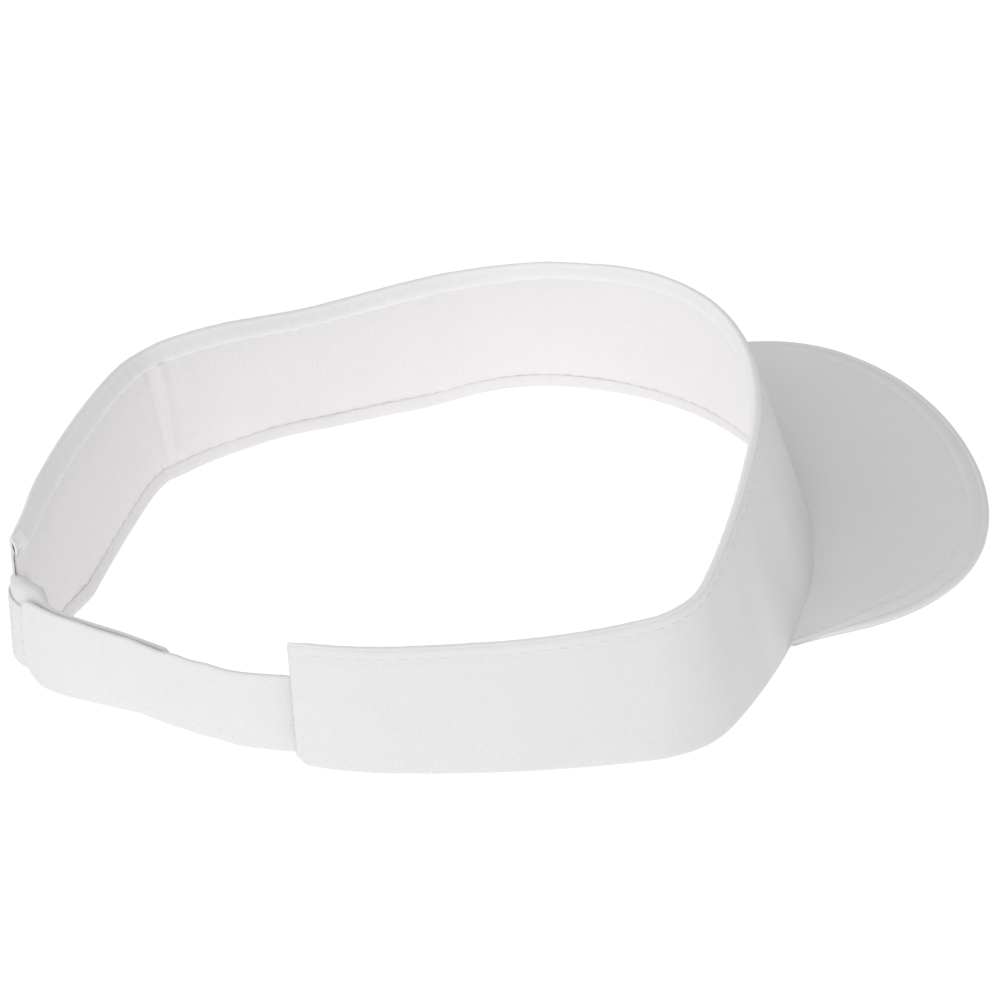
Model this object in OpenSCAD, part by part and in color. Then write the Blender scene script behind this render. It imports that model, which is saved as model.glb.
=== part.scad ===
// Sun visor: a curved fabric headband with a stiffened brim in front and a
// hook-and-loop strap closure behind. +X is the wearer's left, -Y the front and
// +Z up. The headband follows one closed loop of arcs, measured along its lower
// edge from the middle of the front, to the left first.

/* [Headband plan] */
// Radius of the front of the band, over the brim
front_r = 100; // [90:1:110]
// Length of the lower edge from the middle of the front to each brim corner
brim_half = 76; // [70:1:80]
// Length of the left front corner of the band
left_corner_len = 40; // [36:1:44]
// Length of the left side, up to the fold in the left panel
left_side_len = 67; // [62:1:72]
// Length of the fold in the left panel
fold_len = 8; // [7:0.5:10]
// Length of the sharp turn at the left panel's end
left_end_len = 6; // [5:0.5:9]
// Length of that turn left to the strap, outside the panel
turn_out_len = 3.5; // [3:0.5:4]
// Length of the right panel's rear part
right_rear_len = 20; // [17:1:23]
// Length of the right panel's straighter part
right_side_len = 60; // [56:1:64]
// Length of the right front corner of the band
right_corner_len = 24; // [21:1:27]
// Length between the right brim corner and the right front corner
right_front_len = 29; // [26:1:32]

/* [Headband height] */
// Height of the band at the middle of the front
front_h = 43; // [38:1:50]
// Height of the band at the sides and the rear
side_h = 34; // [30:1:38]
// Rise of the lower edge at the middle of the front
seam_rise = 12.5; // [10:0.5:16]
// Distance from the middle of the front at which the lower edge is level
rise_reach = 116; // [110:1:125]
// Backward lean of the front, in degrees
front_lean = 18.5; // [12:0.5:22]
// Outward flare of the rear, in degrees
rear_flare = 10.5; // [6:0.5:13]

/* [Headband layers] */
// Thickness of the outer cloth
cloth_t = 0.8; // [0.6:0.1:1]
// Space between the outer cloth and the sweatband, for the stiffener and the strap tails
pocket_t = 1; // [0.9:0.1:1.2]
// Depth of the cloth turned over inside the top edge
hem_depth = 3.5; // [3:0.5:5]
// Thickness of the front stiffener
stiffener_t = 0.5; // [0.3:0.1:0.5]
// Thickness of the sweatband
sweatband_t = 0.9; // [0.8:0.1:1]
// Height of the binding along the sweatband's lower edge
binding_h = 3; // [2:0.5:4]
// Thickness of that binding
binding_t = 0.5; // [0.4:0.1:0.6]

/* [Brim] */
// Half width of the brim's outline
brim_half_w = 68.5; // [68:0.5:71]
// Distance from the line through the brim's corners to its tip
brim_reach = 70; // [60:1:80]
// Upward slope of the brim, in degrees
brim_slope = 6; // [0:1:8]
// Thickness of the board inside the brim
board_t = 1.6; // [1.2:0.1:2]
// Thickness of the cloth over and under the board
cover_t = 0.6; // [0.4:0.1:0.8]
// Width of the seam outside the board at the brim's edge
brim_seam_w = 3; // [2:0.5:4]
// Distance of the brim's stitching from its edge
brim_stitch_inset = 5; // [4:0.5:6]

/* [Straps] */
// Width of both straps
strap_w = 21.5; // [18:0.5:22]
// Height of the straps' lower edge above the band's lower edge
strap_z = 2; // [2:0.5:4]
// Thickness of each strap
strap_t = 1.2; // [1:0.1:1.4]
// Length of each strap's tail sewn inside its panel
tail_len = 14; // [12:1:15]
// Thickness of that tail, a single ply
tail_t = 0.5; // [0.4:0.1:0.5]
// Length of the left strap outside its panel
left_strap_len = 44; // [40:1:50]
// Bare hook tape between the left panel's end and the right strap's end
bare_hook_len = 5; // [5:1:8]
// Width of the hook and loop tapes
tape_w = 16; // [14:0.5:17]
// Thickness of the hook tape
hook_t = 0.7; // [0.6:0.1:0.9]
// Thickness of the loop tape
loop_t = 0.8; // [0.7:0.1:1]
// Clearance between the two tapes
tape_gap = 0.4; // [0.3:0.1:0.5]
// Clearance between a panel's end and its moving strap
root_gap = 1.2; // [1:0.1:1.5]

/* [Stitching] */
// Length of one stitch
stitch_len = 3; // [2:0.5:4]
// Distance from one stitch to the next
stitch_pitch = 4.5; // [4:0.5:6]
// Thickness of the thread
thread_d = 0.4; // [0.3:0.1:0.5]

/* [Hidden] */

// Turns of the loop's arcs, in degrees. Together they make one whole turn.
front_turn = brim_half / front_r * 180 / PI;
left_corner_turn = 53;
left_side_turn = 2;
fold_turn = 44;
left_rear_turn = 6;
left_end_turn = 54;
right_rear_turn = 19;
right_side_turn = 15;
right_corner_turn = 45;
right_front_turn = 10;
strap_turn = 360 - 2 * front_turn - left_corner_turn - left_side_turn - fold_turn
    - left_rear_turn - left_end_turn - right_rear_turn - right_side_turn
    - right_corner_turn - right_front_turn;

// Displacement made by an arc of unit length that starts at heading a and turns by t
function unit_step(a, t) = 180 / PI / t * [sin(a + t) - sin(a), cos(a) - cos(a + t)];

// The arcs on each side of the two whose lengths close the loop, as [length, turn]
front_arcs = [[brim_half, front_turn], [left_corner_len, left_corner_turn],
    [left_side_len, left_side_turn], [fold_len, fold_turn]];
end_arcs = [[left_end_len, left_end_turn]];
right_arcs = [[right_rear_len, right_rear_turn], [right_side_len, right_side_turn],
    [right_corner_len, right_corner_turn], [right_front_len, right_front_turn],
    [brim_half, front_turn]];

function turns(arcs, n) = n == 0 ? 0 : arcs[n - 1][1] + turns(arcs, n - 1);
function travel(arcs, a, i = 0) = i == len(arcs) ? [0, 0]
    : arcs[i][0] * unit_step(a, arcs[i][1]) + travel(arcs, a + arcs[i][1], i + 1);

// Headings at the start of the left rear, of the turned end, of the straps and of the right
rear_a = turns(front_arcs, len(front_arcs));
end_a = rear_a + left_rear_turn;
strap_a = end_a + left_end_turn;
right_a = strap_a + strap_turn;

// The left rear and the straps take the lengths that bring the loop back to its start
open_gap = travel(front_arcs, 0) + travel(end_arcs, end_a) + travel(right_arcs, right_a);
rear_u = unit_step(rear_a, left_rear_turn);
strap_u = unit_step(strap_a, strap_turn);
det = rear_u.x * strap_u.y - rear_u.y * strap_u.x;
left_rear_len = (strap_u.x * open_gap.y - strap_u.y * open_gap.x) / det;
strap_gap_len = (rear_u.y * open_gap.x - rear_u.x * open_gap.y) / det;

loop_arcs = concat(front_arcs, [[left_rear_len, left_rear_turn]], end_arcs,
    [[strap_gap_len, strap_turn]], right_arcs);
function lengths(arcs, n) = n == 0 ? 0 : arcs[n - 1][0] + lengths(arcs, n - 1);
loop_len = lengths(loop_arcs, len(loop_arcs));
left_end = lengths(loop_arcs, 6) - turn_out_len;
right_end = lengths(loop_arcs, 7);

// Place and heading [x, y, a] at distance d along a chain of arcs
function along(p, d, arcs, i = 0) =
    i == len(arcs) - 1 || d <= arcs[i][0] ? step(p, d, arcs[i][1] * d / arcs[i][0])
    : along(step(p, arcs[i][0], arcs[i][1]), d - arcs[i][0], arcs, i + 1);
function step(p, d, t) = abs(t) < 1e-6 ? [p.x + d * cos(p.z), p.y + d * sin(p.z), p.z]
    : let (u = unit_step(p.z, t)) [p.x + d * u.x, p.y + d * u.y, p.z + t];
function loop_place(d) = along([0, 0, 0], (d + loop_len) % loop_len, loop_arcs);

// Stations where the arcs are cut into straight pieces, on the whole loop
max_piece = 5;
max_piece_turn = 9;
function pieces(arc) = max(ceil(arc[0] / max_piece), ceil(arc[1] / max_piece_turn));
loop_stations = [for (i = [0:len(loop_arcs) - 1])
    for (k = [0:pieces(loop_arcs[i]) - 1])
        lengths(loop_arcs, i) + loop_arcs[i][0] * k / pieces(loop_arcs[i])];
station_gap = 0.4;
function stations(d0, d1) = concat([d0],
    [for (s = loop_stations) if (s - loop_len > d0 + station_gap && s - loop_len < d1 - station_gap)
        s - loop_len],
    [for (s = loop_stations) if (s > d0 + station_gap && s < d1 - station_gap) s], [d1]);

// Height, lower edge and lean of the band at distance d
function smooth(t) = let (c = min(1, max(0, t))) c * c * (3 - 2 * c);
function from_front(d) = min((d + loop_len) % loop_len, loop_len - (d + loop_len) % loop_len);
function rise(d) = seam_rise * pow(max(0, 1 - pow(from_front(d) / rise_reach, 2)), 1.5);
function height(d) = front_h + (side_h - front_h) * smooth(from_front(d) / 170);
function lean(d) = front_lean * (1 - smooth((from_front(d) - 60) / 100))
    - rear_flare * smooth((from_front(d) - 150) / 90);

// Depths of the band's layers below its outer face, and small clearances between them
layer_gap = 0.15;
sweatband_out = cloth_t + pocket_t;
sweatband_in = sweatband_out + sweatband_t;
hem_t = 0.6;
hem_out = sweatband_in + layer_gap;
hem_in = hem_out + hem_t;
end_margin = 1;

// Point of the band at distance d, h above its lower edge and out beyond its outer face
function skin_at(p, d, h, out) = let (o = out - h * tan(lean(d)))
    [p.x + o * sin(p.z), p.y - o * cos(p.z), rise(d) + h];
function skin(d, h, out) = skin_at(place(d), d, h, out);

// The origin is under the middle of the whole visor: of its width, and of the length from
// the brim's tip to the rear
corner_y = front_r * (1 - cos(front_turn));
rim = [for (d = stations(right_end - loop_len, left_end))
    each [skin_at(loop_place(d), d, 0, 0), skin_at(loop_place(d), d, height(d), 0)]];
centre = [(min([for (p = rim) p.x]) + max([for (p = rim) p.x])) / 2,
    (corner_y - brim_reach + max([for (p = rim) p.y])) / 2, 0];
function place(d) = loop_place(d) - centre;

// Solid through equal rings of points, with flat ends
module sweep(rings) {
    n = len(rings[0]);
    m = len(rings);
    points = [for (r = rings) each r];
    sides = [for (i = [0:m - 2]) for (k = [0:n - 1])
        let (a = i * n + k, b = i * n + (k + 1) % n) each [[a, b, b + n], [a, b + n, a + n]]];
    ends = [[for (k = [n - 1:-1:0]) k], [for (k = [0:n - 1]) (m - 1) * n + k]];
    polyhedron(points, concat(sides, ends), convexity = 10);
}

// Flat strip between two distances, two heights and two depths
module strip(d0, d1, h0, h1, in, out) {
    sweep([for (d = stations(d0, d1))
        [skin(d, h0, in), skin(d, h0, out), skin(d, h1, out), skin(d, h1, in)]]);
}

/* Headband */

// Outer cloth of both panels and the front, turned over the top edge to the inside
module shell() {
    color("white")
        sweep([for (d = stations(right_end - loop_len, left_end)) let (h = height(d))
            [skin(d, 0, -cloth_t), skin(d, 0, 0), skin(d, h, 0), skin(d, h, -hem_in),
                skin(d, h - hem_depth, -hem_in), skin(d, h - hem_depth, -hem_out),
                skin(d, h - cloth_t, -hem_out), skin(d, h - cloth_t, -cloth_t)]]);
}

// Stiff interlining behind the front, inside the outer cloth
module front_stiffener() {
    out = -cloth_t - layer_gap;
    color("gainsboro")
        sweep([for (d = stations(-brim_half, brim_half)) let (h = height(d) - 2)
            [skin(d, 1, out - stiffener_t), skin(d, 1, out), skin(d, h, out),
                skin(d, h, out - stiffener_t)]]);
}

// Soft band against the head, its top edge under the turned cloth
module sweatband() {
    color("lavenderblush")
        sweep([for (d = stations(right_end - loop_len + end_margin, left_end - end_margin))
            let (h = height(d) - cloth_t - layer_gap)
            [skin(d, 0, -sweatband_in), skin(d, 0, -sweatband_out),
                skin(d, h, -sweatband_out), skin(d, h, -sweatband_in)]]);
}

// Strip sewn over the sweatband's lower edge
module sweatband_binding() {
    color("ghostwhite")
        strip(right_end - loop_len + end_margin, left_end - end_margin, 0, binding_h,
            -sweatband_in - layer_gap - binding_t, -sweatband_in - layer_gap);
}

/* Brim */

// Root of the brim on the band's lower edge and its outline, at angle t from corner to corner
function root(t) = let (d = brim_half * (t / 90 - 1), p = place(d)) [p.x, p.y];
function outline(t, inset) = [-(brim_half_w - inset) * cos(t) * sqrt(1 + sin(t) * sin(t)) - centre.x,
    corner_y - (brim_reach - inset) * sin(t) - centre.y];

// Height of the brim's middle surface above a point of the plan, with its top cover just
// under the band's lower edge
function brim_z(q) = let (x = min(brim_root_w, max(-brim_root_w, q.x + centre.x)),
        a = asin(x / front_r), root_y = front_r * (1 - cos(a)) - centre.y)
    rise(a / 180 * PI * front_r) - cover_z - cover_t - layer_gap
        + (root_y - q.y) * tan(brim_slope);
brim_root_w = front_r * sin(front_turn);
cover_z = board_t / 2 + layer_gap;

// Layer of the brim between two heights about its middle surface, ending inset from the edge
brim_cuts = 36;
brim_rows = 5;
root_in = 2;
first_cut = 3;
module brim_layer(z0, z1, inset) {
    t0 = inset > 0 ? 2 * first_cut : first_cut;
    function cell(t, v) = let (r = root(t), o = outline(t, inset), w = root_in / norm(o - r))
        r + (o - r) * (-w + (1 + w) * v);
    rings = [for (i = [0:brim_cuts]) let (t = t0 + (180 - 2 * t0) * i / brim_cuts)
        concat([for (k = [0:brim_rows]) let (q = cell(t, k / brim_rows)) [q.x, q.y, brim_z(q) + z0]],
            [for (k = [brim_rows:-1:0]) let (q = cell(t, k / brim_rows)) [q.x, q.y, brim_z(q) + z1]])];
    sweep(rings);
}

module brim_top_cover() {
    color("silver") brim_layer(cover_z, cover_z + cover_t, 0);
}

module brim_board() {
    color("whitesmoke") brim_layer(-board_t / 2, board_t / 2, brim_seam_w);
}

module brim_under_cover() {
    color("gainsboro") brim_layer(-cover_z - cover_t, -cover_z, 0);
}

/* Straps */

// Each strap leaves its panel under the cloth. The right one shifts outwards and the left one
// inwards, so that the tapes lie between them.
right_root = right_end - root_gap;
left_root = left_end + root_gap;
right_start = left_end + bare_hook_len;
right_ramp = 14;
left_ramp = 6;
shift_out = 2;
tail_out = -cloth_t - layer_gap;
tape_play = 0.1;
end_play = 0.2;
shift_in = loop_t + tape_gap + hook_t + 2 * tape_play + strap_t - shift_out;

// Lines of [distance, depth] that the straps' outer faces follow, cut into even pieces
strap_piece = 2;
function even(d0, d1) = let (n = ceil((d1 - d0) / strap_piece)) [for (i = [0:n]) d0 + (d1 - d0) * i / n];
function right_line(d0, d1) = [for (d = even(d0, d1))
    [d, tail_out + shift_out * smooth((right_root - d) / right_ramp)]];
function left_line(d0, d1) = [for (d = even(d0, d1))
    [d, tail_out - shift_in * smooth((d - left_root) / left_ramp)]];

// Layer w wide along such a line, between two depths about it
module strap_layer(line, w, in, out) {
    h0 = strap_z + (strap_w - w) / 2;
    sweep([for (p = line) [skin(p[0], h0, p[1] + in), skin(p[0], h0, p[1] + out),
        skin(p[0], h0 + w, p[1] + out), skin(p[0], h0 + w, p[1] + in)]]);
}

module right_strap_tail() {
    color("white")
        strip(right_end + end_play, right_end + tail_len, strap_z, strap_z + strap_w,
            tail_out - tail_t, tail_out);
}

module right_strap() {
    color("white") strap_layer(right_line(right_start, right_root), strap_w, -strap_t, 0);
}

module loop_tape() {
    color("whitesmoke")
        strap_layer(right_line(right_start + 1.5, right_root - right_ramp), tape_w,
            -strap_t - tape_play - loop_t, -strap_t - tape_play);
}

module left_strap_tail() {
    color("white")
        strip(left_end - tail_len, left_end - end_play, strap_z, strap_z + strap_w,
            tail_out - tail_t, tail_out);
}

module left_strap() {
    color("white") strap_layer(left_line(left_root, left_end + left_strap_len), strap_w, -strap_t, 0);
}

module hook_tape() {
    color("gainsboro")
        strap_layer(left_line(left_root + 0.5, left_end + left_strap_len - 1), tape_w,
            tape_play, tape_play + hook_t);
}

/* Stitching */

// One stitch lying on a face, along heading a and sloped by s
module stitch(p, a, s) {
    translate(p) rotate([0, -s, a])
        translate([-stitch_len / 2, -thread_d / 2, -thread_d / 2])
            cube([stitch_len, thread_d, thread_d]);
}

// Row of stitches on the band's outer face, h below its top edge
module band_row(d0, d1, drop) {
    count = floor((d1 - d0) / stitch_pitch);
    for (i = [0:count]) {
        d = d0 + i * stitch_pitch;
        stitch(skin(d, height(d) - drop, thread_d), place(d).z, 0);
    }
}

// Upright row of stitches at distance d, from h0 to h1, out beyond the outer face
module upright_row(d, h0, h1, out) {
    count = floor((h1 - h0) / stitch_pitch);
    for (i = [0:count])
        stitch(skin(d, h0 + (i + 0.5) * stitch_pitch, out), place(d).z, 90);
}

module top_edge_thread() {
    color("white") band_row(right_end - loop_len + 6, left_end - 6, hem_depth - 0.5);
}

// Row along the brim's edge, on its top cover
module brim_thread() {
    count = 44;
    first_stitch = 6;
    lift = cover_z + cover_t + thread_d;
    color("white")
        for (i = [0:count]) {
            t = first_stitch + (180 - 2 * first_stitch) * i / count;
            q = outline(t, brim_stitch_inset);
            r = outline(t + 0.5, brim_stitch_inset);
            stitch([q.x, q.y, brim_z(q) + lift], atan2(r.y - q.y, r.x - q.x),
                atan2(brim_z(r) - brim_z(q), norm(r - q)));
        }
}

module right_panel_thread() {
    color("white") upright_row(right_end + 3, strap_z + 1, strap_z + strap_w + 4, thread_d);
}

module left_panel_thread() {
    color("white") upright_row(left_end - 3, strap_z + 1, strap_z + strap_w + 4, thread_d);
}

// Rows that hold the loop tape, on the right strap's outer face
module loop_thread() {
    color("white")
        for (d = [right_start + 4, right_root - right_ramp - 3])
            upright_row(d, strap_z + 2, strap_z + strap_w - 2, tail_out + shift_out + thread_d);
}

// Row that holds the hook tape, on the left strap's inner face
module hook_thread() {
    color("white")
        upright_row(left_end + left_strap_len - 4, strap_z + 2, strap_z + strap_w - 2,
            tail_out - shift_in - strap_t - thread_d);
}

shell();
front_stiffener();
sweatband();
sweatband_binding();
brim_top_cover();
brim_board();
brim_under_cover();
right_strap_tail();
right_strap();
loop_tape();
left_strap_tail();
left_strap();
hook_tape();
top_edge_thread();
brim_thread();
right_panel_thread();
left_panel_thread();
loop_thread();
hook_thread();
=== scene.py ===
"""Sun visor: cloth shell, sweatband, brim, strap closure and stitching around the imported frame."""
import math

import bpy
import numpy as np
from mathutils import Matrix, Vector, noise


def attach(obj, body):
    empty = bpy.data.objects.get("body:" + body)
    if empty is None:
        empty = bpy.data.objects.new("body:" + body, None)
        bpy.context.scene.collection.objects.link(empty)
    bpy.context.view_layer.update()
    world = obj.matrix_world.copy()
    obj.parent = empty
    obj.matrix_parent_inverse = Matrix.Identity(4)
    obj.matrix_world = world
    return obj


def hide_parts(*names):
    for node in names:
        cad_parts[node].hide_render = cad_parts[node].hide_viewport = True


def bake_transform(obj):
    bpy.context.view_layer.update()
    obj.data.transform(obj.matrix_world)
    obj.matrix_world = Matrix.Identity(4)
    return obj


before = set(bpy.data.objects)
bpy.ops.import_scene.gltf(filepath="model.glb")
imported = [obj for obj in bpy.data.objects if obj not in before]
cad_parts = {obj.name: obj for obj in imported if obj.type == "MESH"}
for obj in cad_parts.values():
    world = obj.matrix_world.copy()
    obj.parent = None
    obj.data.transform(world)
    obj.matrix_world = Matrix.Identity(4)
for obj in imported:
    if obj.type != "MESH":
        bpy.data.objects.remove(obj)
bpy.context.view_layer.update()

MM = 0.001

# The headband's plan: arcs of [length mm, turn degrees] from the middle of the front, to the left
FRONT_R = 100
BRIM_HALF = 76
FRONT_TURN = math.degrees(BRIM_HALF / FRONT_R)
LEFT_ARCS = [(BRIM_HALF, FRONT_TURN), (40, 53), (67, 2), (8, 44)]
LEFT_REAR_TURN = 6
END_ARC = (6, 54)
TURN_OUT = 3.5
RIGHT_ARCS = [(20, 19), (60, 15), (24, 45), (29, 10), (BRIM_HALF, FRONT_TURN)]

# The headband's height and lean
FRONT_H = 43
SIDE_H = 34
SEAM_RISE = 12.5
RISE_REACH = 116
FRONT_LEAN = 18.5
REAR_FLARE = 10.5

# The sweatband's depth below the band's outer face, and the height of its binding
SWEATBAND_IN = 2.7
BINDING_H = 3.5

# The brim
BRIM_HALF_W = 68.5
BRIM_REACH = 70
BRIM_SLOPE = 6
ROOT_IN = 2
COVER_Z = 0.95
COVER = 0.6
BRIM_STITCH = 5

# The straps and tapes
STRAP_W = 21.5
STRAP_Z = 2
STRAP = 1.2
ROOT_GAP = 1.2
BARE_HOOK = 5
RIGHT_RAMP = 14
LEFT_RAMP = 6
SHIFT_OUT = 2
SHIFT_IN = 0.3
STRAP_OUT = -0.95
TAIL = 14
LEFT_STRAP = 44
TAPE_W = 16
HOOK = 0.7
LOOP = 0.8

THREAD_R = 0.19
STITCH = 3
STITCH_PITCH = 4.5


# ---------------------------------------------------------------- the headband's surface

def unit_step(a, t):
    """Displacement made by an arc of unit length that starts at heading a and turns by t."""
    return np.array([math.sin(a + t) - math.sin(a), math.cos(a) - math.cos(a + t)]) / t


def travel(arcs, a):
    """Displacement made by a chain of arcs that starts at heading a."""
    p = np.zeros(2)
    for length, turn in arcs:
        p += length * unit_step(a, math.radians(turn))
        a += math.radians(turn)
    return p


def close_loop():
    """All arcs of the loop. The left rear and the strap gap take the lengths that close it."""
    rear_a = sum(t for _, t in LEFT_ARCS)
    strap_a = rear_a + LEFT_REAR_TURN + END_ARC[1]
    strap_turn = 360 - strap_a - sum(t for _, t in RIGHT_ARCS)
    gap = (travel(LEFT_ARCS, 0) + travel([END_ARC], math.radians(rear_a + LEFT_REAR_TURN))
           + travel(RIGHT_ARCS, math.radians(strap_a + strap_turn)))
    rear_u = unit_step(math.radians(rear_a), math.radians(LEFT_REAR_TURN))
    strap_u = unit_step(math.radians(strap_a), math.radians(strap_turn))
    rear_len, gap_len = np.linalg.solve(np.column_stack([rear_u, strap_u]), -gap)
    return LEFT_ARCS + [(rear_len, LEFT_REAR_TURN), END_ARC, (gap_len, strap_turn)] + RIGHT_ARCS


ARCS = close_loop()
STARTS = []
_p, _a, _d = np.zeros(2), 0.0, 0.0
for _length, _turn in ARCS:
    STARTS.append((_p[0], _p[1], _a, _d))
    _p = _p + _length * unit_step(_a, math.radians(_turn))
    _a += math.radians(_turn)
    _d += _length
LOOP_LEN = _d
LEFT_END = STARTS[6][3] - TURN_OUT
RIGHT_END = STARTS[7][3]
FIRST = RIGHT_END - LOOP_LEN


def smooth(t):
    """Goes smoothly from 0 to 1 as t does."""
    c = np.clip(t, 0, 1)
    return c * c * (3 - 2 * c)


def loop_place(d):
    """x, y and heading at distance d along the loop."""
    d = np.mod(np.asarray(d, float), LOOP_LEN)
    x, y, a = np.zeros_like(d), np.zeros_like(d), np.zeros_like(d)
    for (length, turn), (x0, y0, a0, d0) in zip(ARCS, STARTS):
        here = d >= d0
        k = (d - d0) / length * math.radians(turn)
        r = length / math.radians(turn)
        x = np.where(here, x0 + r * (np.sin(a0 + k) - math.sin(a0)), x)
        y = np.where(here, y0 + r * (math.cos(a0) - np.cos(a0 + k)), y)
        a = np.where(here, a0 + k, a)
    return x, y, a


def from_front(d):
    """Distance from the middle of the front, either way."""
    d = np.mod(np.asarray(d, float), LOOP_LEN)
    return np.minimum(d, LOOP_LEN - d)


def rise(d):
    """Height of the band's lower edge, which arches up at the front."""
    return SEAM_RISE * np.maximum(0, 1 - (from_front(d) / RISE_REACH) ** 2) ** 1.5


def height(d):
    """Height of the band above its lower edge."""
    return FRONT_H + (SIDE_H - FRONT_H) * smooth(from_front(d) / 170)


def lean(d):
    """Angle by which the band leans in towards its top, in radians."""
    f = from_front(d)
    return np.radians(FRONT_LEAN * (1 - smooth((f - 60) / 100)) - REAR_FLARE * smooth((f - 150) / 90))


def skin_mm(d, h, out):
    """Point at distance d, h above the lower edge and out beyond the outer face, in mm."""
    d, h, out = np.broadcast_arrays(*[np.asarray(v, float) for v in (d, h, out)])
    x, y, a = loop_place(d)
    o = out - h * np.tan(lean(d))
    return np.stack([x + o * np.sin(a), y - o * np.cos(a), rise(d) + h], -1)


CORNER_Y = FRONT_R * (1 - math.cos(math.radians(FRONT_TURN)))
_rim_d = np.linspace(FIRST, LEFT_END, 1500)
_rim = np.concatenate([skin_mm(_rim_d, 0, 0), skin_mm(_rim_d, height(_rim_d), 0)])
CENTRE = np.array([(_rim[:, 0].min() + _rim[:, 0].max()) / 2,
                   (CORNER_Y - BRIM_REACH + _rim[:, 1].max()) / 2, 0])


def near(x, centre, width):
    """Smooth bump, 1 at the centre."""
    return np.exp(-((np.asarray(x, float) - centre) / width) ** 2)


def bumps(d, table):
    """Sum of smooth bumps, each [size, centre, width]."""
    return sum(size * near(d, centre, width) for size, centre, width in table)


# Softness of the left panel, as [mm, distance, width]: rises of its edges, then pushes towards the head
TOP_LIFTS = [(0.8, 115, 13), (-0.5, 144, 13), (0.8, 167, 13), (-0.4, 189, 5), (0.6, 205, 12), (-0.4, 270, 9)]
LOW_LIFTS = [(1.2, 153, 13)]
LOW_DENTS = [(1.6, 110, 14), (2.6, 183, 9)]
TOP_DENTS = [(1.2, 187, 6)]
# The lower edge of its rear is pushed in too, and its end leans out below
REAR_DENT = 1.7
END_IN = 1.0
END_FLARE = 0.15


def drape(d, h):
    """Softness of the left panel and its end: how far a point moves out and up."""
    k = np.clip(h / height(d), 0, 1)
    out = (1 - k) * -REAR_DENT * smooth((d - 176) / 18) * (1 - smooth((d - 246) / 12))
    out = out - (1 - k) * bumps(d, LOW_DENTS) - k * bumps(d, TOP_DENTS)
    end = smooth((d - LEFT_END + 28) / 24) * (1 - smooth((d - LEFT_END - 10) / 28))
    out = out + end * (-END_IN + (SIDE_H - h) * END_FLARE)
    return out, k * bumps(d, TOP_LIFTS) + (1 - k) * bumps(d, LOW_LIFTS)


# Share of their distance by which the layers of a panel close at its end
END_CLOSING = 0.72


def skin(d, h, out):
    """The same point in the frame, in metres, with the cloth's softness and closed panel ends."""
    # They close in the last 4 mm of each panel, above the strap
    end = np.maximum(smooth((d - LEFT_END + 4) / 3.5), smooth((FIRST + 4 - d) / 3.5))
    closed = end * smooth((h - 21) / 3) * (d > FIRST - 1) * (d < LEFT_END + 1)
    out = np.where(out < -0.5, -0.5 + (out + 0.5) * (1 - END_CLOSING * closed), out)
    push, lift = drape(d, h)
    return (skin_mm(d, h + lift, out + push) - CENTRE) * MM


# ---------------------------------------------------------------- mesh helpers

def make_piece(name, points, faces, cloth, material):
    """Smooth mesh piece. cloth is each point's place on the flat cloth, in metres."""
    mesh = bpy.data.meshes.new(name)
    mesh.from_pydata([tuple(p) for p in points], [], faces)
    mesh.polygons.foreach_set("use_smooth", [True] * len(mesh.polygons))
    layer = mesh.attributes.new("cloth", "FLOAT_VECTOR", "POINT")
    flat = np.zeros((len(points), 3), np.float32)
    flat[:, :2] = cloth
    layer.data.foreach_set("vector", flat.ravel())
    mesh.materials.append(material)
    mesh.validate()
    obj = bpy.data.objects.new(name, mesh)
    bpy.context.scene.collection.objects.link(obj)
    return obj


def grid_faces(n, m, ring=False):
    """Faces of n rows of m points. With ring, each row closes on itself."""
    faces = []
    for i in range(n - 1):
        for k in range(m if ring else m - 1):
            a, b = i * m + k, i * m + (k + 1) % m
            faces.append((a, b, b + m, a + m))
    return faces


def sheet_piece(name, grid, cloth, thickness, material, flip=False):
    """Cloth whose seen face is the grid, thickened away from it."""
    n, m = grid.shape[:2]
    faces = grid_faces(n, m)
    if flip:
        faces = [f[::-1] for f in faces]
    obj = make_piece(name, grid.reshape(-1, 3), faces, cloth.reshape(-1, 2) * MM, material)
    solid = obj.modifiers.new("thickness", "SOLIDIFY")
    solid.thickness = thickness * MM
    solid.offset = -1
    solid.use_even_offset = False
    return obj


def tube_piece(name, grid, cloth, material, flip=False):
    """Closed piece from rings of points, with a fan over each end."""
    n, m = grid.shape[:2]
    faces = grid_faces(n, m, ring=True)
    points = list(grid.reshape(-1, 3)) + [grid[0].mean(0), grid[-1].mean(0)]
    flat = np.concatenate([cloth.reshape(-1, 2), [cloth[0].mean(0), cloth[-1].mean(0)]])
    first, last = n * m, n * m + 1
    for k in range(m):
        faces.append((first, (k + 1) % m, k))
        faces.append((last, (n - 1) * m + k, (n - 1) * m + (k + 1) % m))
    if flip:
        faces = [f[::-1] for f in faces]
    return make_piece(name, points, faces, flat * MM, material)


def ripple(x, y, scale_x, scale_y, seed):
    """Smooth noise from -1 to 1 over arrays of mm."""
    x, y = np.broadcast_arrays(np.asarray(x, float), np.asarray(y, float))
    points = zip(x.ravel() / scale_x, y.ravel() / scale_y)
    return np.array([noise.noise(Vector((a, b, seed))) for a, b in points]).reshape(x.shape)


# ---------------------------------------------------------------- materials

def nodes_of(name):
    """New material, with its node tree and its shader."""
    material = bpy.data.materials.new(name)
    material.use_nodes = True
    tree = material.node_tree
    return material, tree, tree.nodes["Principled BSDF"]


def link(tree, a, b):
    tree.links.new(a, b)


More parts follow.
